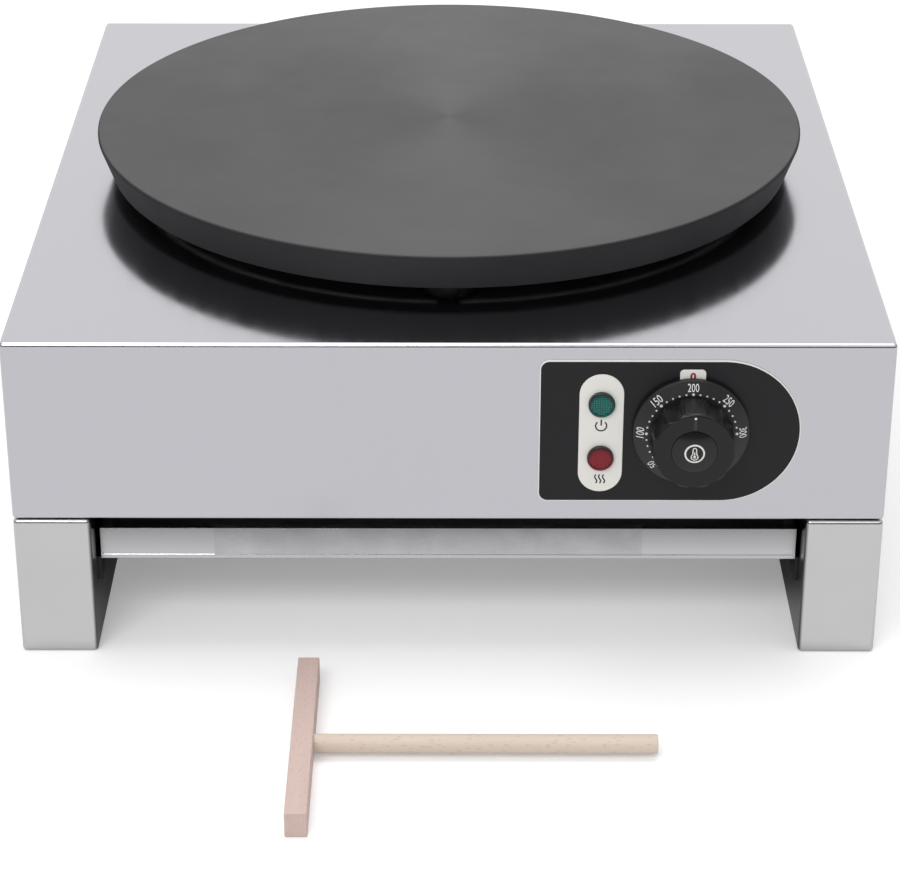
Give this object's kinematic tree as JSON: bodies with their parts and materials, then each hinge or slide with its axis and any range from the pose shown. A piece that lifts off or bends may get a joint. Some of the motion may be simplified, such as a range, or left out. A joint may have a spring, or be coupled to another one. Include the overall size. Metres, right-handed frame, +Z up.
{
  "type": "electric crepe maker",
  "caption": "Electric crepe maker with a round cast griddle over a steel casing, control knob with lamps, drawer between the legs, and a wooden spreader.",
  "frame": {"origin": "on the counter, under the griddle's centre, midway between the four foot holes", "axes": "+Z up, -Y towards the front with the knob, +X to the right seen from in front"},
  "size_m": [0.45, 0.68, 0.208],
  "materials": {
    "casing_steel": "satin",
    "leg_steel": "satin",
    "drawer_steel": "satin",
    "pull_steel": "brushed",
    "inner_steel": "zinc plated",
    "fastener_steel": "zinc plated",
    "griddle_iron": "machined and seasoned",
    "post_metal": "turned",
    "element_tube": "oxidised",
    "ceramic": "glazed ceramic",
    "insulation": "pressed fibre board",
    "copper": "drawn copper",
    "brass": "plain",
    "panel_black": "satin moulded",
    "knob_black": "moulded",
    "plate_white": "moulded",
    "lens_green": "clear tinted",
    "lens_red": "clear tinted",
    "lamp_plastic": "moulded",
    "gland_black": "moulded",
    "wire_sleeve": "silicone sleeve",
    "grommet_rubber": "moulded",
    "beech": "sanded"
  },
  "bodies": {
    "base": {"casing": "casing_steel", "left_leg": "leg_steel", "right_leg": "leg_steel", "left_runner": "drawer_steel", "right_runner": "drawer_steel", "bottom_plate": "inner_steel", "bottom_screws": "fastener_steel", "leg_bolts": "fastener_steel", "leg_nuts": "fastener_steel", "runner_rivets": "fastener_steel", "griddle_plate": "griddle_iron", "support_posts": "post_metal", "stiffening_ring": "inner_steel", "post_studs": "fastener_steel", "post_nuts": "fastener_steel", "post_washers": "fastener_steel", "heating_element": "element_tube", "element_terminals": "fastener_steel", "element_bushes": "ceramic", "element_clamps": "inner_steel", "clamp_screws": "fastener_steel", "insulation_pad": "insulation", "heat_shield": "inner_steel", "shield_stud": "fastener_steel", "shield_nut": "fastener_steel", "control_panel": "panel_black", "lamp_plate": "plate_white", "index_tab": "plate_white", "power_lamp_lens": "lens_green", "heat_lamp_lens": "lens_red", "power_lamp_body": "lamp_plastic", "heat_lamp_body": "lamp_plastic", "lamp_nuts": "lamp_plastic", "power_lamp_wire": "wire_sleeve", "heat_lamp_wire": "wire_sleeve", "heater_wire": "wire_sleeve", "thermostat_wire": "wire_sleeve", "feed_wire": "wire_sleeve", "thermostat_body": "ceramic", "thermostat_bracket": "inner_steel", "thermostat_screws": "fastener_steel", "thermostat_tabs": "brass", "sensor_bulb": "copper", "capillary_tube": "copper", "capillary_grommet": "grommet_rubber", "terminal_block": "ceramic", "terminal_block_screws": "fastener_steel", "cable_gland": "gland_black", "gland_cap": "gland_black", "gland_locknut": "gland_black"},
    "drawer": {"drawer_tray": "drawer_steel", "drawer_front": "drawer_steel", "drawer_pull": "pull_steel", "drawer_rivets": "fastener_steel"},
    "knob": {"knob_dial": "knob_black", "knob_grip": "knob_black", "knob_cap": "knob_black", "thermostat_spindle": "brass"},
    "spreader": {"spreader_head": "beech", "spreader_handle": "beech"}
  },
  "joints": [
    {"name": "knob_turn", "type": "hinge", "parent": "base", "child": "knob", "pos_m": [0.123, -0.246, 0.133], "axis": [0, -1, 0], "range_deg": [-176, 88]},
    {"name": "drawer_slide", "type": "slide", "parent": "base", "child": "drawer", "axis": [0, -1, 0], "range_m": [0, 0.36]},
    {"name": "spreader_lift", "type": "slide", "parent": "base", "child": "spreader", "axis": [0, 0, 1], "range_m": [0, 0.25]}
  ]
}
